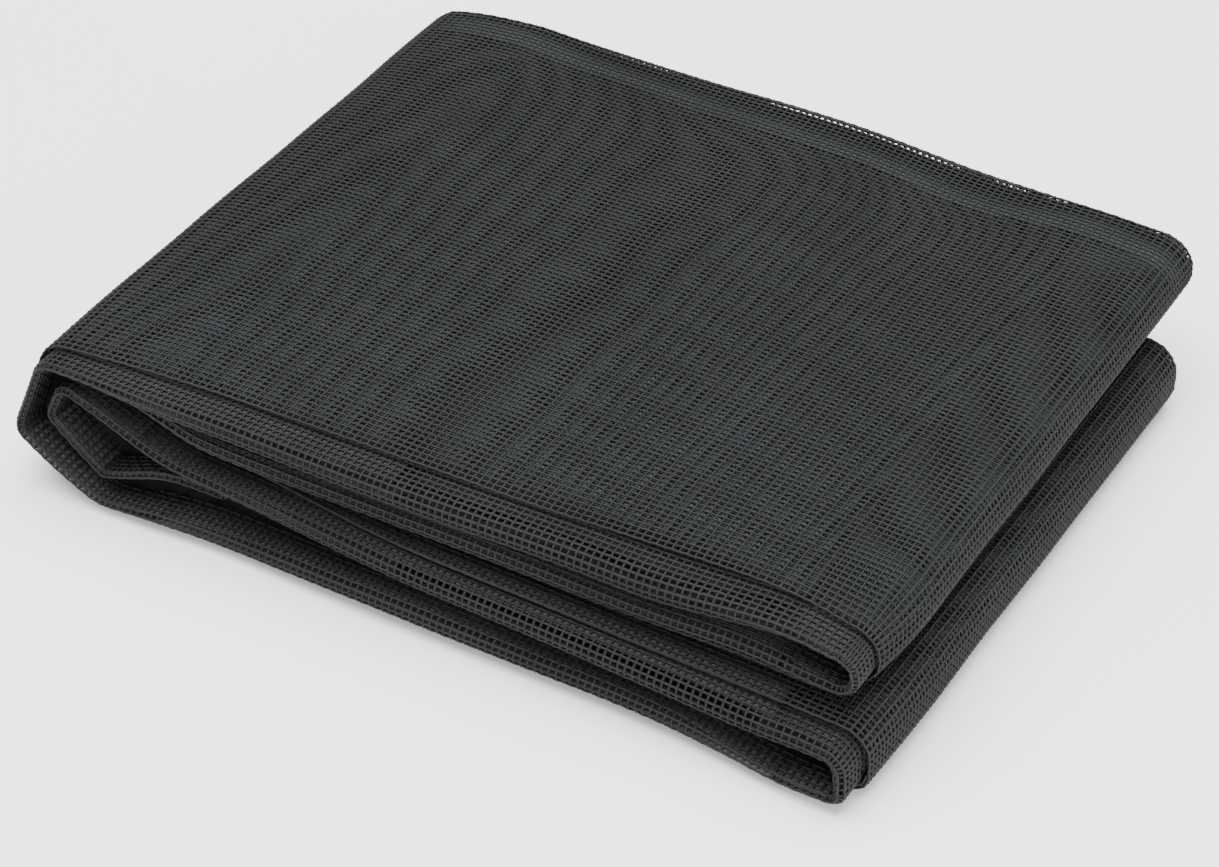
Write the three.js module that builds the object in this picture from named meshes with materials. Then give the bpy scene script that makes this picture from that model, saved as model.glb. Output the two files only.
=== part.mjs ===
// A cut length of charcoal insect-screen cloth, folded into a pack that lies on a surface.
// Millimetres, +Z up, with the origin at the middle of the pack's underside.
//
// The cloth is first folded in three across its width: an outer ply whose cut edge shows at the
// front, a fold along the back, a middle ply, a round fold along the front and an inner ply.
// The strip that this makes is then turned over itself lengthwise. From its first end it goes as
// a short flap, the third run, the fourth run on the table, the top run and the second run.
import * as THREE from 'three';

const CLOTH_THICKNESS = 1.0;
const PACK_HEIGHT = 33.5;
const TABLE_LEVEL = CLOTH_THICKNESS / 2;
const TOP_LEVEL = PACK_HEIGHT - CLOTH_THICKNESS / 2;
const PLY_SPACING = CLOTH_THICKNESS + 0.5;
const CLOTH_COLOUR = 0x34373a;

// One row for each turn of the strip and each place where a run changes, in order along it.
// x, z: where the outer ply's straight stretches would meet; radius: how it is rounded there
// middle, inner: how far inside the outer ply the other two plies lie at the front fold
// sag: how much further the inner ply hangs halfway across
// droop: how far the outer ply's cut edge dips
// edge: the outer ply's cut front edge; nose: the front fold; back: the back fold
// skew: how far the pack leans to +X for each millimetre of depth
const COLUMNS = [
  'place', 'x', 'z', 'radius', 'middle', 'inner', 'sag', 'droop', 'edge', 'nose', 'back', 'skew',
];
const TURNS = [
  ['flap, free end', -52, 8.6, 0, 1.4, 3.0, 0, 0, -66, -76, 64, 0],
  ['flap', -66, 10.0, 24, 1.4, 3.0, 0, 0, -66, -80, 66, 0],
  ['inner loop, low', -82.5, 4.6, 3.5, 1.3, 2.6, 0, 0, -67, -81, 67, 0],
  ['inner loop, side', -98, 17.0, 3.5, 1.3, 2.8, 0, 0, -67, -80, 68, 0],
  ['inner loop, high', -92.5, 28.0, 4.5, 1.3, 2.8, 0, 0, -68, -78.5, 70, 0],
  ['third run, left', -66, 18.0, 40, 1.4, 3.6, 0, 0, -72, -79.5, 70, 0],
  ['third run', -10, 16.6, 60, 1.5, 6.0, 1, 0, -77.5, -81.5, 68, 0],
  ['third run, right', 70, 16.3, 0, 1.8, 7.2, 0.2, 0.3, -78.5, -83.6, 62, 0.04],
  ['lower loop, high', 92.5, 16.2, 6.5, 2.2, 5.1, 0, 0.6, -79, -84.6, 60, 0.064],
  ['lower loop, low', 92.5, TABLE_LEVEL, 5.0, 1.8, 3.4, 0, 0.2, -79, -87.4, 60, 0.062],
  ['fourth run, end', 74, TABLE_LEVEL, 0, 1.4, 2.8, 0, 0, -78.5, -85.2, 61, 0.05],
  ['fourth run, right', 52, TABLE_LEVEL, 0, 1.6, 5.4, 0, 0, -78, -82.8, 62, 0.03],
  ['fourth run', -15, TABLE_LEVEL, 0, 1.5, 6, 0, 0, -77, -83.2, 66, 0],
  ['fourth run, left', -60, TABLE_LEVEL, 0, 1.4, 4.2, 0, 0, -76, -81.8, 68, 0],
  ['outer turn, lift', -82, TABLE_LEVEL, 14, 1.2, 2.4, 0, 0, -78, -84.6, 70, -0.002],
  ['outer turn, side', -105.3, 12.2, 4.5, 1.4, 2.8, 0, 0, -78, -82.6, 71, -0.008],
  ['outer turn, top', -97, TOP_LEVEL, 6, 1.4, 2.7, 0, 0.1, -75, -79.5, 80, -0.014],
  ['top run, left', -87, TOP_LEVEL, 0, 1.5, 2.9, 0.1, 0.2, -73, -80, 87, -0.008],
  ['top run, swell', -62, TOP_LEVEL, 0, 1.6, 5.2, 0.4, 0.3, -71.6, -79.2, 85.6, 0],
  ['top run', -12, TOP_LEVEL, 0, 1.6, 6.8, 0.6, 0.4, -69.8, -78.2, 83.2, 0],
  ['top run, bump', 4, TOP_LEVEL, 0, 1.6, 7.3, 0.5, 0.4, -70.4, -78, 85.8, 0],
  ['top run, low', 22, TOP_LEVEL, 0, 1.6, 6.7, 0.4, 0.4, -69.8, -77.5, 82.4, 0.003],
  ['top run, right', 46, TOP_LEVEL, 0, 1.6, 8.3, 0.4, 0.4, -67.8, -76.4, 79.3, 0.008],
  ['top run, end', 72, TOP_LEVEL, 0, 1.7, 3.6, 0.2, 0.4, -67.4, -76, 77.2, 0.02],
  ['upper loop, high', 90.3, TOP_LEVEL, 6.6, 4.4, 5.7, 0, 3.3, -68.5, -76, 76.4, 0.048],
  ['upper loop, low', 90.3, 17.7, 7.4, 2.0, 3.5, 0, 0.7, -69.5, -76.5, 76, 0.048],
  ['second run, right', 64, 17.9, 0, 1.6, 7.0, 0, 0, -70, -76, 75, 0.02],
  ['second run, pressed', 46, 17.9, 0, 1.6, 5.0, 0, 0, -70, -76, 75, 0.01],
  ['second run', -10, 18.1, 60, 1.6, 5.4, 0, 0, -70, -76.4, 74, 0],
  ['second run, left', -60, 19.5, 30, 1.4, 4.4, 0, 0, -70, -77.4, 74, 0],
  ['second run, free end', -84, 26.0, 0, 1.2, 2.4, 0, 0, -66, -75, 74, 0],
].map((row) => Object.fromEntries(COLUMNS.map((name, i) => [name, row[i]])));

// How far the dip of the cut edge, the swell at the back fold and the slump at the front fold
// reach across the cloth, and how far short of the back fold the inner ply is cut.
const DROOP_REACH = 18;
const BACK_REACH = 30;
const FRONT_LEVEL = 8;
const FRONT_REACH = 26;
const TAIL_GAP = 1.5;

// Points along the strip: the longest straight step, and the widest angle of one step in a turn.
const RUN_STEP = 20;
const TURN_STEP = THREE.MathUtils.degToRad(18);

// The cloth runs smoothly from row to row: a column is a mean over this length of the strip.
const SLOW_EVENING = 36;
const QUICK_EVENING = 14;
const QUICK_COLUMNS = ['middle', 'inner', 'sag', 'droop'];
const SLOW_COLUMNS = ['edge', 'nose', 'back', 'skew'];
const EVEN_SAMPLES = 13;

// Points across each stretch of the folded section.
const EDGE_STEPS = 3;
const BACK_FOLD_STEPS = 4;
const BACK_STEPS = 2;
const FRONT_STEPS = 3;
const FRONT_FOLD_STEPS = 6;
const INNER_STEPS = 4;

// The outer ply's path in the XZ plane: straight stretches joined by arcs. Each point of it has
// its direction, its length from the first end and its place in the table.
function stripPath(turns) {
  const path = [];
  const corners = turns.map((turn) => new THREE.Vector2(turn.x, turn.z));
  const add = (point, along, row) => {
    const last = path[path.length - 1];
    const length = last ? last.length + last.point.distanceTo(point) : 0;
    path.push({ point, along, row, length });
  };
  turns.forEach((turn, i) => {
    const corner = corners[i];
    const before = i > 0 ? corner.clone().sub(corners[i - 1]).normalize() : null;
    const after = i < turns.length - 1 ? corners[i + 1].clone().sub(corner).normalize() : null;
    const bend = before && after ? Math.atan2(before.cross(after), before.dot(after)) : 0;
    const setBack = turn.radius * Math.tan(Math.abs(bend) / 2);
    const direction = before ?? after;
    const start = corner.clone().addScaledVector(direction, -setBack);
    if (before) {
      const from = path[path.length - 1].point;
      const steps = Math.max(1, Math.ceil(from.distanceTo(start) / RUN_STEP));
      for (let k = 1; k < steps; k += 1) {
        add(from.clone().lerp(start, k / steps), before, i - 1 + k / steps);
      }
    }
    add(start, direction, i);
    if (setBack > 0) {
      const toCentre = new THREE.Vector2(-before.y, before.x).multiplyScalar(Math.sign(bend));
      const centre = start.clone().addScaledVector(toCentre, turn.radius);
      const steps = Math.ceil(Math.abs(bend) / TURN_STEP);
      for (let k = 1; k <= steps; k += 1) {
        const angle = (bend * k) / steps;
        const turned = before.clone().rotateAround(new THREE.Vector2(), angle);
        add(start.clone().rotateAround(centre, angle), turned, i);
      }
    }
  });
  return path;
}

const STRIP = stripPath(TURNS);
const STRIP_LENGTH = STRIP[STRIP.length - 1].length;

// A column of the table at a length along the strip, straight between its rows.
function column(name, length) {
  const next = Math.max(1, STRIP.findIndex((station) => station.length >= length));
  const [a, b] = [STRIP[next - 1], STRIP[next]];
  const row = THREE.MathUtils.mapLinear(length, a.length, b.length, a.row, b.row);
  const i = Math.min(Math.floor(row), TURNS.length - 2);
  return THREE.MathUtils.lerp(TURNS[i][name], TURNS[i + 1][name], row - i);
}

// The same, evened out along the strip.
function evened(name, length, reach) {
  let sum = 0;
  for (let k = 0; k < EVEN_SAMPLES; k += 1) {
    const away = (k / (EVEN_SAMPLES - 1) - 0.5) * reach;
    sum += column(name, THREE.MathUtils.clamp(length + away, 0, STRIP_LENGTH));
  }
  return sum / EVEN_SAMPLES;
}

// All columns of the section at a length along the strip.
function sectionAt(length) {
  return Object.fromEntries([
    ...QUICK_COLUMNS.map((name) => [name, evened(name, length, QUICK_EVENING)]),
    ...SLOW_COLUMNS.map((name) => [name, evened(name, length, SLOW_EVENING)]),
  ]);
}

// 1 at a fold or an edge, falling away to 0 at its reach.
function fading(distance, reach) {
  return Math.max(0, 1 - distance / reach) ** 2;
}

// 1 as far as FRONT_LEVEL behind the front fold, then easing down to 0.
function settled(distance) {
  const share = THREE.MathUtils.clamp((distance - FRONT_LEVEL) / FRONT_REACH, 0, 1);
  return 0.5 + 0.5 * Math.cos(Math.PI * share);
}

// The middle of the cloth across one section: depth x, and how far y inside the outer ply it lies.
function sectionCurve(at) {
  const curve = [];
  const add = (depth, inside) => curve.push(new THREE.Vector2(depth, inside));
  const addFold = (depth, from, to, steps, side) => {
    const radius = (to - from) / 2;
    for (let k = 0; k < steps; k += 1) {
      const angle = (Math.PI * k) / steps;
      add(depth + side * radius * Math.sin(angle), from + radius * (1 - Math.cos(angle)));
    }
  };
  const base = Math.min(at.middle, PLY_SPACING);
  const backHeight = Math.max(base, at.inner - PLY_SPACING);
  const backDepth = at.back - backHeight / 2;
  const frontDepth = at.nose + (at.inner - at.middle) / 2;
  for (let k = 0; k <= EDGE_STEPS; k += 1) {
    const fromEdge = DROOP_REACH * (k / EDGE_STEPS) ** 2;
    add(at.edge + fromEdge, at.droop * fading(fromEdge, DROOP_REACH));
  }
  addFold(backDepth, 0, backHeight, BACK_FOLD_STEPS, 1);
  for (let k = 0; k <= BACK_STEPS; k += 1) {
    const fromBack = (BACK_REACH * k) / BACK_STEPS;
    add(backDepth - fromBack, base + (backHeight - base) * fading(fromBack, BACK_REACH));
  }
  for (let k = FRONT_STEPS; k >= 0; k -= 1) {
    const fromFront = FRONT_LEVEL + (FRONT_REACH * k) / FRONT_STEPS;
    add(frontDepth + fromFront, base + (at.middle - base) * settled(fromFront));
  }
  addFold(frontDepth, at.middle, at.inner, FRONT_FOLD_STEPS, -1);
  for (let k = 0; k <= INNER_STEPS; k += 1) {
    const share = k / INNER_STEPS;
    const depth = THREE.MathUtils.lerp(frontDepth, at.back - TAIL_GAP, share);
    add(depth, at.inner + at.sag * Math.sin(Math.PI * share));
  }
  return curve;
}

// The closed outline of one section: out along one face of the cloth and back along the other.
function sectionOutline(at) {
  const curve = sectionCurve(at);
  const faces = [1, -1].map((side) => curve.map((point, i) => {
    const along = curve[Math.min(i + 1, curve.length - 1)].clone()
      .sub(curve[Math.max(i - 1, 0)]).normalize();
    const across = new THREE.Vector2(along.y, -along.x);
    return point.clone().addScaledVector(across, (side * CLOTH_THICKNESS) / 2);
  }));
  return [...faces[0], ...faces[1].reverse()];
}

// One section's outline, placed on the strip's path.
function placedSection({ point, along, length }) {
  const at = sectionAt(length);
  const inward = new THREE.Vector2(along.y, -along.x);
  return sectionOutline(at).map(({ x: depth, y: inside }) => new THREE.Vector3(
    point.x + inward.x * inside + at.skew * (depth - at.nose),
    depth,
    point.y + inward.y * inside,
  ));
}

// The cloth as one closed body: its sections joined in turn, with a cap at each end.
function clothGeometry() {
  const sections = STRIP.map(placedSection);
  const count = sections[0].length;
  const positions = sections.flat().flatMap((point) => [point.x, point.y, point.z]);
  const triangles = [];
  for (let i = 0; i + 1 < sections.length; i += 1) {
    for (let k = 0; k < count; k += 1) {
      const next = (k + 1) % count;
      const [a, b] = [i * count + k, i * count + next];
      const [c, d] = [a + count, b + count];
      triangles.push(a, c, b, b, c, d);
    }
  }
  const lastSection = (sections.length - 1) * count;
  for (let k = 0; k + 1 < count / 2; k += 1) {
    const [a, b, c, d] = [k, k + 1, count - 1 - k, count - 2 - k];
    triangles.push(a, b, c, b, d, c);
    triangles.push(lastSection + a, lastSection + c, lastSection + b);
    triangles.push(lastSection + b, lastSection + c, lastSection + d);
  }
  const geometry = new THREE.BufferGeometry();
  geometry.setAttribute('position', new THREE.Float32BufferAttribute(positions, 3));
  geometry.setIndex(triangles);
  geometry.computeBoundingBox();
  const { min, max } = geometry.boundingBox;
  geometry.translate(-(min.x + max.x) / 2, -(min.y + max.y) / 2, -min.z);
  geometry.computeVertexNormals();
  return geometry;
}

const clothMaterial = new THREE.MeshStandardMaterial({ color: CLOTH_COLOUR, roughness: 0.6, metalness: 0 });
const screenCloth = new THREE.Mesh(clothGeometry(), clothMaterial);
screenCloth.name = 'screen_cloth';

const insectScreen = new THREE.Group();
insectScreen.add(screenCloth);

export default insectScreen;
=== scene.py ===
"""A folded pack of charcoal insect screen, woven thread by thread on the folds of its cloth.

The cloth is folded in three across its width, and the strip that this makes is turned over itself
lengthwise. A place on the cloth has two measures: how far along the strip it is, and how far across
the cloth, counted as depth on the outer ply and carried on round the folds.
"""
import math

import bpy
import numpy as np
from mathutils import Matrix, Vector


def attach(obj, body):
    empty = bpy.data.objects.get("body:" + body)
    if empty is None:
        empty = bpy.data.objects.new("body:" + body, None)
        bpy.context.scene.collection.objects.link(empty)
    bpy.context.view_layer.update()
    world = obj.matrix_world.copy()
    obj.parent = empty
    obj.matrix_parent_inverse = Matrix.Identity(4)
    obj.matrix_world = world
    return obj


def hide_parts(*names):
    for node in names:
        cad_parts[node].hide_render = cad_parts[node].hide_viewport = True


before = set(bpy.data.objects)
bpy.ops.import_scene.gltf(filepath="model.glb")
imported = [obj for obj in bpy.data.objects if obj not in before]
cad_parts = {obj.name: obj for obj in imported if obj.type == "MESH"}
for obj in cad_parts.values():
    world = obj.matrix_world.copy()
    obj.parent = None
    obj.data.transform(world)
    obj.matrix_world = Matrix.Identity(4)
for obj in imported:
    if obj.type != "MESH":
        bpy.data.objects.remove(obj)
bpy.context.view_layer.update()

MM = 0.001

# The pack's sizes, in millimetres.
CLOTH_THICKNESS = 1.0
PLY_CLEARANCE = 0.5
PACK_HEIGHT = 33.5
TABLE_LEVEL = CLOTH_THICKNESS / 2
TOP_LEVEL = PACK_HEIGHT - CLOTH_THICKNESS / 2
PLY_SPACING = CLOTH_THICKNESS + PLY_CLEARANCE

# One row for each turn of the strip and each place where a run changes, in order along it.
# x, z: where the outer ply's straight stretches would meet; radius: how it is rounded there
# middle, inner: how far inside the outer ply the other two plies lie at the front fold
# sag: how much further the inner ply hangs halfway across
# droop: how far the outer ply's cut edge dips
# edge: the outer ply's cut front edge; nose: the front fold; back: the back fold
# skew: how far the pack leans to +X for each millimetre of depth
PATH_COLUMNS = ("x", "z", "radius")
PLY_COLUMNS = ("middle", "inner", "sag", "droop", "edge", "nose", "back", "skew")
COLUMNS = PATH_COLUMNS + PLY_COLUMNS
TURNS = {
    "flap, free end": (-52, 8.6, 0, 1.4, 3.0, 0, 0, -66, -76, 64, 0),
    "flap": (-66, 10.0, 24, 1.4, 3.0, 0, 0, -66, -80, 66, 0),
    "inner loop, low": (-82.5, 4.6, 3.5, 1.3, 2.6, 0, 0, -67, -81, 67, 0),
    "inner loop, side": (-98, 17.0, 3.5, 1.3, 2.8, 0, 0, -67, -80, 68, 0),
    "inner loop, high": (-92.5, 28.0, 4.5, 1.3, 2.8, 0, 0, -68, -78.5, 70, 0),
    "third run, left": (-66, 18.0, 40, 1.4, 3.6, 0, 0, -72, -79.5, 70, 0),
    "third run": (-10, 16.6, 60, 1.5, 6.0, 1, 0, -77.5, -81.5, 68, 0),
    "third run, right": (70, 16.3, 0, 1.8, 7.2, 0.2, 0.3, -78.5, -83.6, 62, 0.04),
    "lower loop, high": (92.5, 16.2, 6.5, 2.2, 5.1, 0, 0.6, -79, -84.6, 60, 0.064),
    "lower loop, low": (92.5, TABLE_LEVEL, 5.0, 1.8, 3.4, 0, 0.2, -79, -87.4, 60, 0.062),
    "fourth run, end": (74, TABLE_LEVEL, 0, 1.4, 2.8, 0, 0, -78.5, -85.2, 61, 0.05),
    "fourth run, right": (52, TABLE_LEVEL, 0, 1.6, 5.4, 0, 0, -78, -82.8, 62, 0.03),
    "fourth run": (-15, TABLE_LEVEL, 0, 1.5, 6, 0, 0, -77, -83.2, 66, 0),
    "fourth run, left": (-60, TABLE_LEVEL, 0, 1.4, 4.2, 0, 0, -76, -81.8, 68, 0),
    "outer turn, lift": (-82, TABLE_LEVEL, 14, 1.2, 2.4, 0, 0, -78, -84.6, 70, -0.002),
    "outer turn, side": (-105.3, 12.2, 4.5, 1.4, 2.8, 0, 0, -78, -82.6, 71, -0.008),
    "outer turn, top": (-97, TOP_LEVEL, 6, 1.4, 2.7, 0, 0.1, -75, -79.5, 80, -0.014),
    "top run, left": (-87, TOP_LEVEL, 0, 1.5, 2.9, 0.1, 0.2, -73, -80, 87.0, -0.008),
    "top run, swell": (-62, TOP_LEVEL, 0, 1.6, 5.2, 0.4, 0.3, -71.6, -79.2, 85.6, 0),
    "top run": (-12, TOP_LEVEL, 0, 1.6, 6.8, 0.6, 0.4, -69.8, -78.2, 83.2, 0),
    "top run, bump": (4, TOP_LEVEL, 0, 1.6, 7.3, 0.5, 0.4, -70.4, -78, 85.8, 0),
    "top run, low": (22, TOP_LEVEL, 0, 1.6, 6.7, 0.4, 0.4, -69.8, -77.5, 82.4, 0.003),
    "top run, right": (46, TOP_LEVEL, 0, 1.6, 8.3, 0.4, 0.4, -67.8, -76.4, 79.3, 0.008),
    "top run, end": (72, TOP_LEVEL, 0, 1.7, 3.6, 0.2, 0.4, -67.4, -76, 77.2, 0.02),
    "upper loop, high": (90.3, TOP_LEVEL, 6.6, 4.4, 5.7, 0, 3.3, -68.5, -76, 76.4, 0.048),
    "upper loop, low": (90.3, 17.7, 7.4, 2.0, 3.5, 0, 0.7, -69.5, -76.5, 76.0, 0.048),
    "second run, right": (64, 17.9, 0, 1.6, 7.0, 0, 0, -70, -76, 75, 0.02),
    "second run, pressed": (46, 17.9, 0, 1.6, 5.0, 0, 0, -70, -76, 75, 0.01),
    "second run": (-10, 18.1, 60, 1.6, 5.4, 0, 0, -70, -76.4, 74, 0),
    "second run, left": (-60, 19.5, 30, 1.4, 4.4, 0, 0, -70, -77.4, 74, 0),
    "second run, free end": (-84, 26.0, 0, 1.2, 2.4, 0, 0, -66, -75, 74, 0),
}
PLACES = list(TURNS)

# How far the inner ply ends short of the back fold, and how far across the cloth an edge's dip and the
# two folds' heights reach.
TAIL_GAP = 1.5
DROOP_REACH = 18
BACK_REACH = 30
FRONT_LEVEL = 8
FRONT_REACH = 26

# The length of strip over which the table's steps are evened out.
SLOW_EVENING = 36
QUICK_EVENING = 14
QUICK = ("middle", "inner", "sag", "droop")

# The cloth's unevenness: heights and lengths in millimetres, sway and start in radians.
SLOW_RIPPLE = {"height": 0.12, "length": 11.0, "sway": 1.7, "sway_length": 17.0}
QUICK_RIPPLE = {"height": 0.06, "length": 6.3, "sway": 1.1, "sway_length": 9.0, "start": 0.7}

# How finely the cloth is followed, and a range across it that no place on it passes.
GRID = 0.25
ARC_STEP = math.radians(2)
NORMAL_REACH = 0.4
SHIFT_STRIDE = 8
SHIFT_STEP = 1.0
ACROSS_RANGE = -90, 420

# The weave: openings to the inch along the strip and across it, and the coated yarn.
INCH = 25.4
OPENINGS_ALONG = 16
OPENINGS_ACROSS = 18
PITCH_ALONG = INCH / OPENINGS_ALONG
PITCH_ACROSS = INCH / OPENINGS_ACROSS
YARN_RADIUS = 0.31
WEAVE_HEIGHT = 0.09
FINE_SIDES = 4
PLAIN_SIDES = 3

# The lattice of crossings: its rows, how much further a turned one reaches and where it turns, and how
# far its threads and crossings stay inside the strip's ends.
LATTICE_ROWS = -320, 420
TURNED_REACH = 260
TURN_PIVOT = 150
THREAD_INSET = 0.8
CROSSING_INSET = 0.5
SECOND_PLY_TURN = math.radians(8.0)

# How far the woven parts reach beyond the folds and loops.
FRONT_STRIP = 10
BACK_MARGIN = 8
NOSE_MARGIN_MIDDLE = 9
NOSE_MARGIN_INNER = 7
LOOP_MARGIN = 12

# The outer ply has as many rows everywhere as this depth takes, so they lie closer where it is less deep.
ROWS_DEPTH = 152

# The plies inside the pack: how fine and thick they are, how far they stay from the strip's ends and
# behind a woven ply, and which shares of the way round a fold they line.
PLY_STEP_ALONG = 3.2
PLY_STEP_ACROSS = 9
PLY_THICKNESS = 0.4
PLY_INSET = 1
BACKING_DEPTH = 0.45
BACK_OVERLAP = 1
BACK_LINING = 0.44, 0.53
NOSE_LINING = 0.4

# Finishes: patterns have their scale to the metre, depths are in metres, and the half pitch and the
# yarn line's inner and outer edge are shares of a pitch.
CHARCOAL_TINT = 1.0, 1.09, 1.15
PATCH_SCALE = 45.0
PATCH_DETAIL = 3.0
GRAIN_SCALE = 2600.0
GRAIN_DETAIL = 2.0
GRAIN_SHARE = 0.5
GRAIN_STRENGTH = 0.25
GRAIN_DEPTH = 0.00008
YARN_STOPS = 0.5, 1.0
YARN_ROUGHNESS = 0.55, 0.7
YARN_SPECULAR = 0.2
HALF_PITCH = 0.5
YARN_LINE = 0.11, 0.2
CLOTH_RELIEF_DEPTH = 0.0003
CLOTH_ROUGHNESS = 0.6
CLOTH_SPECULAR = 0.3
# Depths over which the inner cloths go from their front tone up to their full tone: painted light for the
# shade deeper inside the pack, eased off towards the front.
PAINTED_LIGHT_DEPTHS = -0.071, -0.058

# The stage, in metres, watts and degrees.
FLOOR_HALF = 6.0
FLOOR_TONES = 0.86, 0.9
FLOOR_STOPS = 0.3, 0.7
FLOOR_PATCH_SCALE = 3.0
FLOOR_PATCH_DETAIL = 2.0
FLOOR_ROUGHNESS = 0.9
SKY_STRENGTH = 0.8
WIDE = 180
LAMP_COLUMNS = ("place", "aim", "size", "power", "spread")
LAMPS = {
    "overhead": ((-0.1, 0.05, 1.1), (0, 0, 0), (1.3, 1.1), 46, WIDE),
    "front": ((0.9, -0.9, 0.55), (0, 0, 0.02), (1.2, 0.7), 9, WIDE),
    "side": ((1.1, -0.1, 0.14), (0.1, 0, 0.017), (0.9, 0.18), 2, 60),
    "low front": ((-0.3, -1.1, 0.22), (0, -0.05, 0.015), (1.2, 0.4), 9, WIDE),
}

# The camera, from the pack's perspective in the picture: place and aim in the table's measures.
PICTURE_LENS = 76.44
SENSOR_WIDTH = 36
CLIP_START = 0.01
CAMERA_PLACE = (212.6, -389.4, 352.6)
CAMERA_AIM = (19.0, -45.0, 33.5)


# The folded cloth.


def column(name):
    return np.array([row[COLUMNS.index(name)] for row in TURNS.values()], float)


def strip_path():
    """Fine points of the outer ply's path, with each point's place in the table."""
    corners = np.column_stack([column("x"), column("z")])
    points, rows = [], []
    for i, radius in enumerate(column("radius")):
        if i in (0, len(corners) - 1):
            points.append(corners[i])
            rows.append(i)
            continue
        before = corners[i] - corners[i - 1]
        after = corners[i + 1] - corners[i]
        before /= np.linalg.norm(before)
        after /= np.linalg.norm(after)
        bend = math.atan2(before[0] * after[1] - before[1] * after[0], before @ after)
        start = corners[i] - before * radius * math.tan(abs(bend) / 2)
        centre = start + np.array([-before[1], before[0]]) * math.copysign(radius, bend)
        arm = start - centre
        steps = max(1, math.ceil(abs(bend) / ARC_STEP)) if radius else 0
        for k in range(steps + 1):
            angle = bend * k / max(steps, 1)
            cos, sin = math.cos(angle), math.sin(angle)
            points.append(centre + (cos * arm[0] - sin * arm[1], sin * arm[0] + cos * arm[1]))
            rows.append(i)
    return np.array(points), np.array(rows, float)


path, path_rows = strip_path()
path_length = np.concatenate([[0], np.cumsum(np.linalg.norm(np.diff(path, axis=0), axis=1))])
STRIP_LENGTH = path_length[-1]
grid = np.arange(0, STRIP_LENGTH + GRID, GRID)
grid_rows = np.interp(grid, path_length, path_rows)


def along_grid(name):
    """A column of the table at every step of the strip."""
    values = np.interp(grid_rows, np.arange(len(PLACES)), column(name))
    half = int((QUICK_EVENING if name in QUICK else SLOW_EVENING) / GRID / 2)
    padded = np.pad(values, half, mode="edge")
    return np.convolve(padded, np.full(2 * half + 1, 1 / (2 * half + 1)), mode="valid")


strip = {name: along_grid(name) for name in PLY_COLUMNS}
strip["x"] = np.interp(grid, path_length, path[:, 0])
strip["z"] = np.interp(grid, path_length, path[:, 1])
slope = np.stack([np.gradient(strip["x"]), np.gradient(strip["z"])])
slope /= np.linalg.norm(slope, axis=0)
strip["inward_x"], strip["inward_z"] = slope[1], -slope[0]


def start_of(place):
    return path_length[np.flatnonzero(path_rows == PLACES.index(place))[0]]


def end_of(place):
    return path_length[np.flatnonzero(path_rows == PLACES.index(place))[-1]]


def section(along):
    """The folded section at places along the strip, with where each of its parts ends."""
    at = {name: np.interp(along, grid, values) for name, values in strip.items()}
    at["base"] = np.minimum(at["middle"], PLY_SPACING)
    at["back_height"] = np.maximum(at["base"], at["inner"] - PLY_SPACING)
    at["back_depth"] = at["back"] - at["back_height"] / 2
    at["nose_radius"] = (at["inner"] - at["middle"]) / 2
    at["front_depth"] = at["nose"] + at["nose_radius"]
    at["outer_end"] = at["back_depth"]
    at["back_end"] = at["outer_end"] + math.pi * at["back_height"] / 2
    at["middle_end"] = at["back_end"] + at["back_depth"] - at["front_depth"]
    at["nose_end"] = at["middle_end"] + math.pi * at["nose_radius"]
    at["inner_end"] = at["nose_end"] + at["back"] - TAIL_GAP - at["front_depth"]
    return at


def ramp(distance, reach):
    """1 at no distance, easing down to 0 at the reach."""
    return np.clip(1 - distance / reach, 0, 1) ** 2


def settle(distance):
    """1 at the front fold and as far as FRONT_LEVEL behind it, then easing down to 0."""
    return 0.5 + 0.5 * np.cos(math.pi * np.clip((distance - FRONT_LEVEL) / FRONT_REACH, 0, 1))


def wave(main, other, height, length, sway, sway_length, start=0.0):
    return height * np.sin(main / length + sway * np.sin(other / sway_length) + start)


def ripple(along, across):
    """The cloth's slight unevenness, in millimetres off its surface."""
    return wave(along, across, **SLOW_RIPPLE) + wave(across, along, **QUICK_RIPPLE)


def table_point(along, across, deeper=0.0):
    """Points of the cloth's middle surface, in the table's measures."""
    at = section(along)
    parts = [across < at[end] for end in ("outer_end", "back_end", "middle_end", "nose_end")]
    back_radius = at["back_height"] / 2
    back_angle = (across - at["outer_end"]) / back_radius
    nose_angle = (across - at["middle_end"]) / at["nose_radius"]
    from_back = across - at["back_end"]
    from_front = at["middle_end"] - across
    from_nose = across - at["nose_end"]
    hang = np.sin(math.pi * np.clip(from_nose / (at["inner_end"] - at["nose_end"]), 0, 1))
    depth = np.select(parts, [
        across,
        at["back_depth"] + back_radius * np.sin(back_angle),
        at["back_depth"] - from_back,
        at["front_depth"] - at["nose_radius"] * np.sin(nose_angle),
    ], at["front_depth"] + from_nose)
    inside = np.select(parts, [
        at["droop"] * ramp(across - at["edge"], DROOP_REACH),
        back_radius * (1 - np.cos(back_angle)),
        at["base"] + (at["back_height"] - at["base"]) * ramp(from_back, BACK_REACH)
        + (at["middle"] - at["base"]) * settle(from_front),
        at["middle"] + at["nose_radius"] * (1 - np.cos(nose_angle)),
    ], at["inner"] + at["sag"] * hang)
    inside = inside + ripple(along, across) + deeper
    lean = at["skew"] * (depth - at["nose"])
    return np.column_stack([
        at["x"] + at["inward_x"] * inside + lean,
        depth,
        at["z"] + at["inward_z"] * inside,
    ])


def pack_shift():
    """What brings the middle of the pack's underside to the frame's origin, in metres."""
    places = np.meshgrid(grid[::SHIFT_STRIDE], np.arange(*ACROSS_RANGE, SHIFT_STEP))
    along, across = (measure.ravel() for measure in places)
    at = section(along)
    kept = (across >= at["edge"]) & (across <= at["inner_end"])
    points = table_point(along[kept], across[kept]) * MM
    low, high = points.min(0), points.max(0)
    return np.array([-(low[0] + high[0]) / 2, -(low[1] + high[1]) / 2, 0])


PACK_SHIFT = pack_shift()


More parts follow.
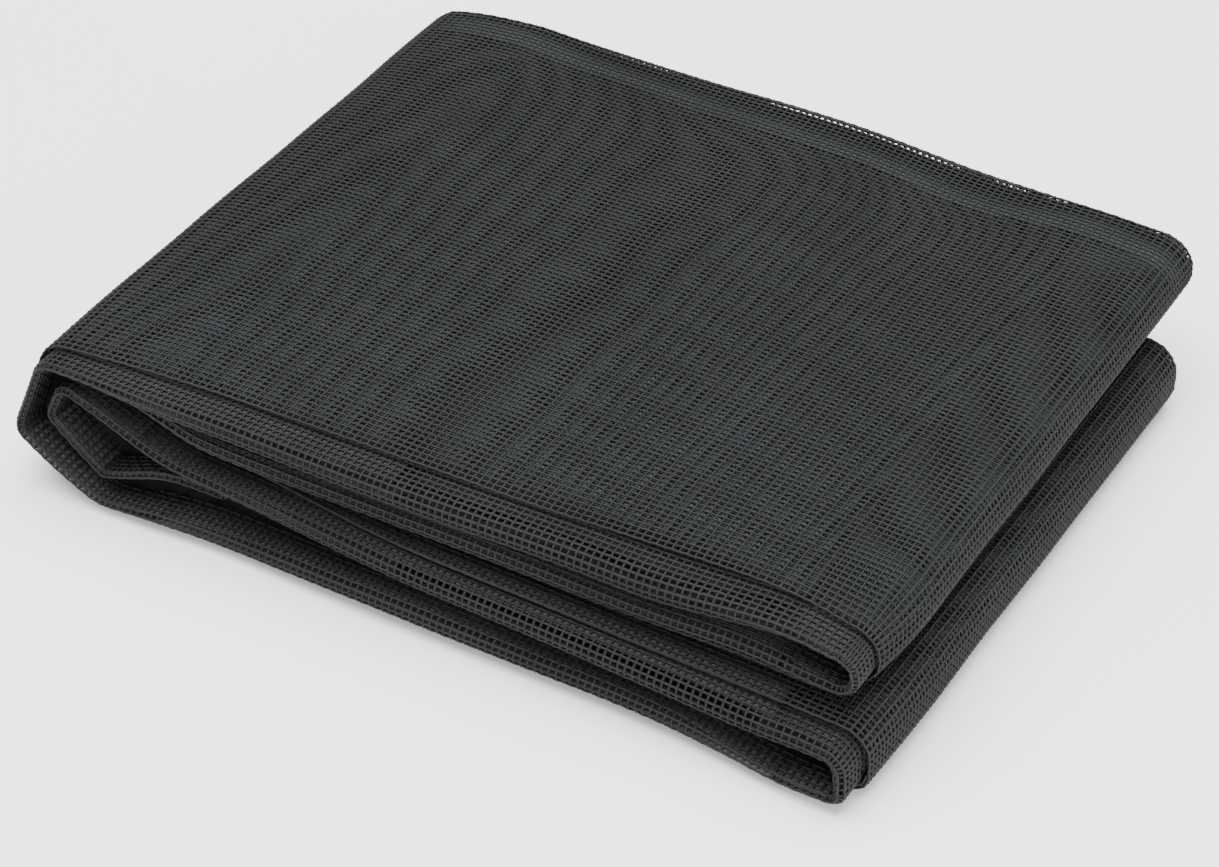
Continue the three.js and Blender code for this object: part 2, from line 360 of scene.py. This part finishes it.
def cloth_point(along, across, deeper=0.0):
    """Points of the cloth's middle surface, in metres in the part's frame."""
    return table_point(along, across, deeper) * MM + PACK_SHIFT


def cloth_normal(along, across):
    lengthwise = cloth_point(along + NORMAL_REACH, across) - cloth_point(along - NORMAL_REACH, across)
    crosswise = cloth_point(along, across + NORMAL_REACH) - cloth_point(along, across - NORMAL_REACH)
    normal = np.cross(lengthwise, crosswise)
    return normal / np.linalg.norm(normal, axis=1, keepdims=True)


# Geometry Nodes: threads on a lattice of crossings.


def add_node(tree, kind, settings=None, **inputs):
    """A new node with its settings, and with inputs that are linked or set by name."""
    node = tree.nodes.new(kind)
    for name, value in (settings or {}).items():
        setattr(node, name, value)
    for name, value in inputs.items():
        socket = node.inputs[name.replace("_", " ")]
        if isinstance(value, bpy.types.NodeSocket):
            tree.links.new(value, socket)
        else:
            socket.default_value = value
    return node


def woven_net_tree():
    """Edges of a lattice become threads that pass over and under each other."""
    tree = bpy.data.node_groups.new("woven net", "GeometryNodeTree")
    for name, kind in (
        ("Lattice", "NodeSocketGeometry"),
        ("Yarn radius", "NodeSocketFloat"),
        ("Weave height", "NodeSocketFloat"),
        ("Yarn sides", "NodeSocketInt"),
        ("Yarn", "NodeSocketMaterial"),
    ):
        tree.interface.new_socket(name, in_out="INPUT", socket_type=kind)
    tree.interface.new_socket("Net", in_out="OUTPUT", socket_type="NodeSocketGeometry")
    given = tree.nodes.new("NodeGroupInput").outputs
    lift = add_node(tree, "GeometryNodeInputNamedAttribute", {"data_type": "FLOAT_VECTOR"}, Name="lift")
    lengthwise = add_node(tree, "GeometryNodeInputNamedAttribute", {"data_type": "BOOLEAN"},
                          Name="lengthwise")
    crosswise = add_node(tree, "FunctionNodeBooleanMath", {"operation": "NOT"})
    tree.links.new(lengthwise.outputs["Attribute"], crosswise.inputs[0])
    under = add_node(tree, "ShaderNodeMath", {"operation": "MULTIPLY"})
    tree.links.new(given["Weave height"], under.inputs[0])
    under.inputs[1].default_value = -1
    profile = add_node(tree, "GeometryNodeCurvePrimitiveCircle", {"mode": "RADIUS"},
                       Resolution=given["Yarn sides"], Radius=given["Yarn radius"])
    both = tree.nodes.new("GeometryNodeJoinGeometry")
    for chosen, height in (
        (lengthwise.outputs["Attribute"], given["Weave height"]),
        (crosswise.outputs[0], under.outputs[0]),
    ):
        offset = add_node(tree, "ShaderNodeVectorMath", {"operation": "SCALE"}, Scale=height)
        tree.links.new(lift.outputs["Attribute"], offset.inputs[0])
        waved = add_node(tree, "GeometryNodeSetPosition",
                         Geometry=given["Lattice"], Offset=offset.outputs[0])
        threads = add_node(tree, "GeometryNodeMeshToCurve", Mesh=waved.outputs[0], Selection=chosen)
        yarn = add_node(tree, "GeometryNodeCurveToMesh", Curve=threads.outputs[0],
                        Profile_Curve=profile.outputs[0], Fill_Caps=True)
        tree.links.new(yarn.outputs[0], both.inputs[0])
    smooth = add_node(tree, "GeometryNodeSetShadeSmooth", Geometry=both.outputs[0])
    real = add_node(tree, "GeometryNodeRealizeInstances", Geometry=smooth.outputs[0])
    finish = add_node(tree, "GeometryNodeSetMaterial", Geometry=real.outputs[0], Material=given["Yarn"])
    tree.links.new(finish.outputs[0], tree.nodes.new("NodeGroupOutput").inputs[0])
    return tree


# Pieces of cloth: woven ones, and thin sheets for the plies inside the pack.


def linked(name, data):
    obj = bpy.data.objects.new(name, data)
    bpy.context.collection.objects.link(obj)
    return obj


def plain_mesh(obj, name):
    """The evaluated object as a piece of its own, with no modifier."""
    evaluated = obj.evaluated_get(bpy.context.evaluated_depsgraph_get())
    mesh = bpy.data.meshes.new_from_object(evaluated)
    mesh.name = name
    base = obj.data
    bpy.data.objects.remove(obj)
    bpy.data.meshes.remove(base)
    return linked(name, mesh)


def declare(piece):
    """Makes a piece ride on the root body, and hides the model's screen_cloth part."""
    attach(piece, "root")
    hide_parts("screen_cloth")


def crossing_places(i, j, centre, rows_from, turn):
    """How far along the strip and across the cloth the lattice's crossings lie."""
    a, b = i * PITCH_ALONG - centre, j * PITCH_ACROSS
    if turn:
        cos, sin = math.cos(turn), math.sin(turn)
        b = b - TURN_PIVOT
        return centre + cos * a - sin * b, TURN_PIVOT + sin * a + cos * b
    origin, spread = rows_from(section(centre + a))
    return centre + a, origin + b * spread


def region_lattice(first, last, ends, rows_from, turn):
    """A region's crossings, their lift, its edges, which of these run lengthwise, and its area."""
    centre = (first + last) / 2
    reach = TURNED_REACH if turn else 0
    first_column = math.floor((first - reach) / PITCH_ALONG) - 1
    last_column = math.ceil((last + reach) / PITCH_ALONG) + 1
    columns, rows = np.arange(first_column, last_column + 1), np.arange(*LATTICE_ROWS)
    i, j = (number.ravel() for number in np.meshgrid(columns, rows, indexing="ij"))
    starts, stops = [], []
    for di, dj in ((1, 0), (0, 1)):
        along, across = crossing_places(i + di / 2, j + dj / 2, centre, rows_from, turn)
        low, high = ends(section(along))
        own = (along >= first) & (along < last) & (across >= low) & (across < high)
        own &= (along > THREAD_INSET) & (along < STRIP_LENGTH - THREAD_INSET)
        starts.append(np.column_stack([i[own], j[own]]))
        stops.append(starts[-1] + (di, dj))
    threads = np.concatenate(starts + stops)
    crossings, index = np.unique(threads, axis=0, return_inverse=True)
    edges = index.reshape(2, -1).T
    lengthwise = np.arange(len(edges)) < len(starts[0])
    along, across = crossing_places(crossings[:, 0], crossings[:, 1], centre, rows_from, turn)
    along = np.clip(along, CROSSING_INSET, STRIP_LENGTH - CROSSING_INSET)
    over = np.where(crossings.sum(1) % 2, 1.0, -1.0)
    lift = cloth_normal(along, across) * over[:, None]
    area = len(starts[0]) * PITCH_ALONG * PITCH_ACROSS
    return cloth_point(along, across), lift, edges, lengthwise, area


def woven_piece(name, regions, sides, yarn, turn=0.0):
    """Threads on every lattice edge whose middle lies in one of the regions.

    A region has two ends along the strip, a function for its two ends across the cloth, and a function
    for the line its rows follow and how far apart they lie.
    """
    points, lifts, edges, lengthwise = [], [], [], []
    taken = 0
    for first, last, ends, rows_from in regions:
        crossings, lift, threads, flags, patch = region_lattice(first, last, ends, rows_from, turn)
        points.append(crossings)
        lifts.append(lift)
        edges.append(threads + taken)
        lengthwise.append(flags)
        taken += len(crossings)
    mesh = bpy.data.meshes.new(name)
    mesh.from_pydata(np.concatenate(points).tolist(), np.concatenate(edges).tolist(), [])
    lift_layer = mesh.attributes.new("lift", "FLOAT_VECTOR", "POINT")
    lift_layer.data.foreach_set("vector", np.concatenate(lifts).ravel())
    lengthwise_layer = mesh.attributes.new("lengthwise", "BOOLEAN", "EDGE")
    lengthwise_layer.data.foreach_set("value", np.concatenate(lengthwise))
    lattice = linked(name + " lattice", mesh)
    weave = lattice.modifiers.new("weave", "NODES")
    weave.node_group = NET_TREE
    inputs = {
        "Yarn radius": YARN_RADIUS * MM,
        "Weave height": WEAVE_HEIGHT * MM,
        "Yarn sides": sides,
        "Yarn": yarn,
    }
    for item in NET_TREE.interface.items_tree:
        if item.name in inputs:
            weave[item.identifier] = inputs[item.name]
    declare(plain_mesh(lattice, name))


def ply_piece(name, regions, cloth):
    """Thin sheets of cloth for the plies inside the pack.

    A region has two ends along the strip, a function for its two ends across the cloth, and how much
    further inside the sheet lies than the ply that it stands for.
    """
    corners, faces, weave_at = [], [], []
    taken = 0
    for first, last, ends, deeper in regions:
        along = np.linspace(first, last, max(2, math.ceil((last - first) / PLY_STEP_ALONG) + 1))
        low, high = ends(section(along))
        steps = max(2, math.ceil((high - low).max() / PLY_STEP_ACROSS) + 1)
        share = np.linspace(0, 1, steps)
        a = np.repeat(along, steps)
        b = (low[:, None] + (high - low)[:, None] * share[None]).ravel()
        corners.append(cloth_point(a, b, deeper))
        weave_at.append(np.column_stack([a / PITCH_ALONG, b / PITCH_ACROSS]))
        k = np.arange(len(a)).reshape(len(along), steps) + taken
        squares = np.stack([k[:-1, :-1], k[1:, :-1], k[1:, 1:], k[:-1, 1:]], axis=-1)
        faces.append(squares.reshape(-1, 4))
        taken += len(a)
    mesh = bpy.data.meshes.new(name + " sheet")
    mesh.from_pydata(np.concatenate(corners).tolist(), [], np.concatenate(faces).tolist())
    layer = mesh.uv_layers.new(name="weave")
    loops = np.empty(len(mesh.loops), int)
    mesh.loops.foreach_get("vertex_index", loops)
    layer.data.foreach_set("uv", np.concatenate(weave_at)[loops].ravel())
    mesh.materials.append(cloth)
    mesh.shade_smooth()
    sheet = linked(name + " sheet", mesh)
    body = sheet.modifiers.new("thickness", "SOLIDIFY")
    body.thickness = PLY_THICKNESS * MM
    body.offset = 0
    declare(plain_mesh(sheet, name))


# Finishes.


def new_material(name):
    material = bpy.data.materials.new(name)
    material.use_nodes = True
    shader = material.node_tree.nodes["Principled BSDF"]
    return material, material.node_tree, shader


def charcoal(tone):
    """A dark grey, very slightly blue."""
    return (*(tone * tint for tint in CHARCOAL_TINT), 1)


def grey(tone):
    return (tone, tone, tone, 1)


def colour_ramp(tree, value, positions, colours):
    node = add_node(tree, "ShaderNodeValToRGB", Fac=value)
    for element, position, colour in zip(node.color_ramp.elements, positions, colours):
        element.position = position
        element.color = colour
    return node.outputs["Color"]


def coated_yarn(name, tones):
    """Glass yarn in a satin charcoal coat: slow and fine shifts of tone, and a fine grain."""
    material, tree, shader = new_material(name)
    place = add_node(tree, "ShaderNodeTexCoord").outputs["Object"]
    slow = add_node(tree, "ShaderNodeTexNoise", Vector=place, Scale=PATCH_SCALE, Detail=PATCH_DETAIL)
    fine = add_node(tree, "ShaderNodeTexNoise", Vector=place, Scale=GRAIN_SCALE, Detail=GRAIN_DETAIL)
    both = add_node(tree, "ShaderNodeMath", {"operation": "MULTIPLY_ADD"})
    tree.links.new(fine.outputs["Fac"], both.inputs[0])
    both.inputs[1].default_value = GRAIN_SHARE
    tree.links.new(slow.outputs["Fac"], both.inputs[2])
    colour = colour_ramp(tree, both.outputs[0], YARN_STOPS, [charcoal(tone) for tone in tones])
    tree.links.new(colour, shader.inputs["Base Color"])
    gloss = add_node(tree, "ShaderNodeMapRange", Value=fine.outputs["Fac"],
                     To_Min=YARN_ROUGHNESS[0], To_Max=YARN_ROUGHNESS[1])
    tree.links.new(gloss.outputs[0], shader.inputs["Roughness"])
    grain = add_node(tree, "ShaderNodeBump", Height=fine.outputs["Fac"],
                     Strength=GRAIN_STRENGTH, Distance=GRAIN_DEPTH)
    tree.links.new(grain.outputs[0], shader.inputs["Normal"])
    shader.inputs["Specular IOR Level"].default_value = YARN_SPECULAR
    return material


def yarn_lines(tree, weave):
    """1 on the yarn of both directions and 0 in the openings, from a place counted in pitches."""
    split = add_node(tree, "ShaderNodeSeparateXYZ", Vector=weave)
    either = add_node(tree, "ShaderNodeMath", {"operation": "MAXIMUM"})
    for axis, socket in zip("XY", either.inputs):
        from_yarn = add_node(tree, "ShaderNodeMath", {"operation": "PINGPONG"})
        tree.links.new(split.outputs[axis], from_yarn.inputs[0])
        from_yarn.inputs[1].default_value = HALF_PITCH
        line = add_node(tree, "ShaderNodeMapRange", {"interpolation_type": "SMOOTHSTEP"},
                        Value=from_yarn.outputs[0], From_Min=YARN_LINE[0], From_Max=YARN_LINE[1],
                        To_Min=1.0, To_Max=0.0)
        tree.links.new(line.outputs[0], socket)
    return either.outputs[0]


def inner_cloth(name, tones, front_tone, relief):
    """The same cloth inside the pack: openings and yarn lines in two tones, painted lighter than the
    outer yarn as painted light for the shade inside the pack, and darker towards the front, where the
    painted light eases off to the front tone.
    """
    material, tree, shader = new_material(name)
    coords = add_node(tree, "ShaderNodeTexCoord")
    yarn = yarn_lines(tree, coords.outputs["UV"])
    colour = colour_ramp(tree, yarn, (0.0, 1.0), [charcoal(tone) for tone in tones])
    depth = add_node(tree, "ShaderNodeSeparateXYZ", Vector=coords.outputs["Object"])
    # Painted light: full tone deep inside the pack, eased down to the front tone towards the front.
    painted_light_easing = add_node(tree, "ShaderNodeMapRange", {"interpolation_type": "SMOOTHSTEP"},
                   Value=depth.outputs["Y"], From_Min=PAINTED_LIGHT_DEPTHS[0], From_Max=PAINTED_LIGHT_DEPTHS[1],
                   To_Min=front_tone, To_Max=1.0)
    shaded = add_node(tree, "ShaderNodeVectorMath", {"operation": "SCALE"}, Scale=painted_light_easing.outputs[0])
    tree.links.new(colour, shaded.inputs[0])
    tree.links.new(shaded.outputs[0], shader.inputs["Base Color"])
    bump = add_node(tree, "ShaderNodeBump", Height=yarn, Strength=relief, Distance=CLOTH_RELIEF_DEPTH)
    tree.links.new(bump.outputs[0], shader.inputs["Normal"])
    shader.inputs["Roughness"].default_value = CLOTH_ROUGHNESS
    shader.inputs["Specular IOR Level"].default_value = CLOTH_SPECULAR
    return material


def pale_floor():
    material, tree, shader = new_material("pale_floor")
    place = add_node(tree, "ShaderNodeTexCoord").outputs["Object"]
    cloud = add_node(tree, "ShaderNodeTexNoise", Vector=place,
                     Scale=FLOOR_PATCH_SCALE, Detail=FLOOR_PATCH_DETAIL)
    colour = colour_ramp(tree, cloud.outputs["Fac"], FLOOR_STOPS, [grey(tone) for tone in FLOOR_TONES])
    tree.links.new(colour, shader.inputs["Base Color"])
    shader.inputs["Roughness"].default_value = FLOOR_ROUGHNESS
    return material


YARN = coated_yarn("coated_yarn", tones=(0.006, 0.0105))
# The middle ply's yarn is painted several times lighter than the outer yarn, as painted light for the
# outer net's shade over it.
PAINTED_LIGHT_YARN = coated_yarn("painted_light_yarn", tones=(0.038, 0.052))
# The inner cloths are painted lighter than the outer yarn, as painted light for the shade inside the pack
# and in the gaps between the runs; inner_cloth and loop_cloth are darker towards the front.
INNER_CLOTH = inner_cloth("inner_cloth", tones=(0.066, 0.074), front_tone=0.14, relief=0.5)
GAP_CLOTH = inner_cloth("gap_cloth", tones=(0.023, 0.027), front_tone=1.0, relief=0.4)
LOOP_CLOTH = inner_cloth("loop_cloth", tones=(0.036, 0.040), front_tone=0.55, relief=0.25)
NET_TREE = woven_net_tree()

# Where the runs of the strip begin and end, and where the front fold gapes, in millimetres along it.
PLY_START, PLY_END = PLY_INSET, STRIP_LENGTH - PLY_INSET
LOWER_LOOP = start_of("lower loop, high") - LOOP_MARGIN, end_of("lower loop, low") + LOOP_MARGIN
OUTER_TURN = start_of("outer turn, lift") - LOOP_MARGIN, end_of("outer turn, top")
TOP_MIDDLE = end_of("top run, bump")
UPPER_LOOP = start_of("upper loop, high") - LOOP_MARGIN, end_of("upper loop, low") + LOOP_MARGIN
INNER_LOOP = start_of("third run, left")
TOP_GAPE = start_of("top run"), start_of("top run, end")
THIRD_GAPE = start_of("third run"), start_of("third run, right")

# Lines that rows of the weave follow, with how far apart the rows lie.


def along_edge(at):
    return at["edge"], (at["outer_end"] - at["edge"]) / ROWS_DEPTH


def along_nose(at):
    return (at["middle_end"] + at["nose_end"]) / 2, 1.0


# Parts of the folded section, each by its two ends across the cloth.


def outer_ply(at):
    return at["edge"], at["outer_end"] - BACK_MARGIN


def outer_front(at):
    return at["edge"], at["edge"] + FRONT_STRIP


def outer_inside(at):
    return at["edge"] + FRONT_STRIP, at["outer_end"] - BACK_MARGIN


def back_fold(at):
    return at["outer_end"] - BACK_MARGIN, at["back_end"] + BACK_MARGIN


def middle_ply(at):
    return at["back_end"] + BACK_MARGIN, at["middle_end"] - NOSE_MARGIN_MIDDLE


def middle_whole(at):
    return at["back_end"] + BACK_MARGIN, at["middle_end"]


def front_fold(at):
    return at["middle_end"] - NOSE_MARGIN_MIDDLE, at["nose_end"] + NOSE_MARGIN_INNER


def inner_whole(at):
    return at["nose_end"], at["inner_end"]


def inner_behind(at):
    return at["nose_end"] + NOSE_MARGIN_INNER, at["inner_end"]


def round_back(at, share):
    return at["outer_end"] + share * (at["back_end"] - at["outer_end"])


def back_over(at):
    return at["outer_end"] - BACK_OVERLAP, round_back(at, BACK_LINING[0])


def back_middle(at):
    return round_back(at, BACK_LINING[0]), round_back(at, BACK_LINING[1])


def back_under(at):
    return round_back(at, BACK_LINING[1]), at["back_end"] + BACK_MARGIN


def under_nose(at):
    round_nose = at["middle_end"] + NOSE_LINING * (at["nose_end"] - at["middle_end"])
    return at["back_end"] + BACK_MARGIN, round_nose


woven_piece("net_top_left", [(OUTER_TURN[0], TOP_MIDDLE, outer_ply, along_edge)], FINE_SIDES, YARN)
woven_piece("net_top_right", [
    (TOP_MIDDLE, UPPER_LOOP[1], outer_ply, along_edge),
    (*LOWER_LOOP, outer_ply, along_edge),
], FINE_SIDES, YARN)
woven_piece("net_under", [(LOWER_LOOP[1], OUTER_TURN[0], outer_ply, along_edge)], PLAIN_SIDES, YARN)
woven_piece("net_front", [
    (0, STRIP_LENGTH, front_fold, along_nose),
    (0, LOWER_LOOP[0], outer_front, along_edge),
    (UPPER_LOOP[1], STRIP_LENGTH, outer_front, along_edge),
], FINE_SIDES, YARN)
woven_piece("net_back", [(0, STRIP_LENGTH, back_fold, along_edge)], FINE_SIDES, YARN)
# The middle ply's nets use the yarn painted lighter, as painted light for the outer net's shade.
woven_piece("net_second", [
    (OUTER_TURN[1], UPPER_LOOP[0], middle_ply, along_nose),
], PLAIN_SIDES, PAINTED_LIGHT_YARN, turn=SECOND_PLY_TURN)
woven_piece("net_loops", [
    (*UPPER_LOOP, middle_ply, along_nose),
    (*LOWER_LOOP, middle_ply, along_nose),
], PLAIN_SIDES, PAINTED_LIGHT_YARN)
# The sheets inside the pack carry the inner cloths' painted light.
ply_piece("loop_plies", [
    (PLY_START, INNER_LOOP, outer_inside, 0),
    (PLY_START, INNER_LOOP, middle_whole, BACKING_DEPTH),
    (PLY_START, INNER_LOOP, inner_whole, -BACKING_DEPTH),
    (*OUTER_TURN, middle_whole, BACKING_DEPTH),
    (*OUTER_TURN, inner_whole, -BACKING_DEPTH),
    (start_of("lower loop, low"), LOWER_LOOP[1], outer_ply, BACKING_DEPTH),
    (OUTER_TURN[1], TOP_GAPE[0], inner_whole, -BACKING_DEPTH),
    (*TOP_GAPE, inner_behind, -BACKING_DEPTH),
    (TOP_GAPE[1], UPPER_LOOP[1], inner_whole, -BACKING_DEPTH),
    (*LOWER_LOOP, inner_whole, -BACKING_DEPTH),
], LOOP_CLOTH)
ply_piece("inner_plies", [
    (OUTER_TURN[1], TOP_GAPE[0], middle_whole, BACKING_DEPTH),
    (*TOP_GAPE, middle_ply, BACKING_DEPTH),
    (TOP_GAPE[1], UPPER_LOOP[1], middle_whole, BACKING_DEPTH),
    (*LOWER_LOOP, middle_whole, BACKING_DEPTH),
    (OUTER_TURN[1], UPPER_LOOP[1], back_over, BACKING_DEPTH),
    (OUTER_TURN[1], UPPER_LOOP[1], back_under, -BACKING_DEPTH),
    (OUTER_TURN[1], TOP_GAPE[0], back_middle, 0),
    (TOP_GAPE[1], UPPER_LOOP[1], back_middle, 0),
], INNER_CLOTH)
ply_piece("lower_plies", [
    (INNER_LOOP, LOWER_LOOP[0], outer_inside, 0),
    (INNER_LOOP, LOWER_LOOP[0], outer_front, BACKING_DEPTH),
    (INNER_LOOP, LOWER_LOOP[0], middle_whole, BACKING_DEPTH),
    (INNER_LOOP, THIRD_GAPE[0], inner_whole, -BACKING_DEPTH),
    (*THIRD_GAPE, inner_behind, -BACKING_DEPTH),
    (THIRD_GAPE[1], LOWER_LOOP[0], inner_whole, -BACKING_DEPTH),
    (LOWER_LOOP[1], OUTER_TURN[0], under_nose, BACKING_DEPTH),
    (LOWER_LOOP[1], OUTER_TURN[0], inner_whole, -BACKING_DEPTH),
    (UPPER_LOOP[1], PLY_END, outer_inside, 0),
    (UPPER_LOOP[1], PLY_END, middle_whole, BACKING_DEPTH),
    (UPPER_LOOP[1], PLY_END, inner_whole, -BACKING_DEPTH),
    (PLY_START, OUTER_TURN[1], back_over, BACKING_DEPTH),
    (PLY_START, OUTER_TURN[1], back_under, -BACKING_DEPTH),
    (UPPER_LOOP[1], PLY_END, back_over, BACKING_DEPTH),
    (UPPER_LOOP[1], PLY_END, back_under, -BACKING_DEPTH),
], GAP_CLOTH)

# The stage: floor, light and camera.


def aimed(name, data, place, aim):
    """An object that looks from its place to its aim."""
    obj = linked(name, data)
    obj.location = place
    obj.rotation_euler = (Vector(aim) - Vector(place)).to_track_quat("-Z", "Y").to_euler()
    return obj


def soft_light(name, place, aim, size, power, spread):
    lamp = bpy.data.lights.new(name, "AREA")
    lamp.shape = "RECTANGLE"
    lamp.size, lamp.size_y = size
    lamp.energy = power
    lamp.spread = math.radians(spread)
    aimed(name, lamp, place, aim)


floor_mesh = bpy.data.meshes.new("floor")
floor_corners = [(x * FLOOR_HALF, y * FLOOR_HALF, 0) for x, y in ((-1, -1), (1, -1), (1, 1), (-1, 1))]
floor_mesh.from_pydata(floor_corners, [], [(0, 1, 2, 3)])
floor_mesh.materials.append(pale_floor())
floor = linked("floor", floor_mesh)

world = bpy.data.worlds.new("studio")
world.use_nodes = True
sky = world.node_tree.nodes["Background"]
sky.inputs["Color"].default_value = (1, 1, 1, 1)
sky.inputs["Strength"].default_value = SKY_STRENGTH
bpy.context.scene.world = world
for lamp_name, lamp_row in LAMPS.items():
    soft_light(lamp_name, **dict(zip(LAMP_COLUMNS, lamp_row)))

camera_data = bpy.data.cameras.new("camera")
camera_data.lens = PICTURE_LENS
camera_data.sensor_width = SENSOR_WIDTH
camera_data.sensor_fit = "HORIZONTAL"
camera_data.clip_start = CLIP_START
camera_place, camera_aim = (
    Vector(place) * MM + Vector(PACK_SHIFT) for place in (CAMERA_PLACE, CAMERA_AIM)
)
bpy.context.scene.camera = aimed("camera", camera_data, camera_place, camera_aim)
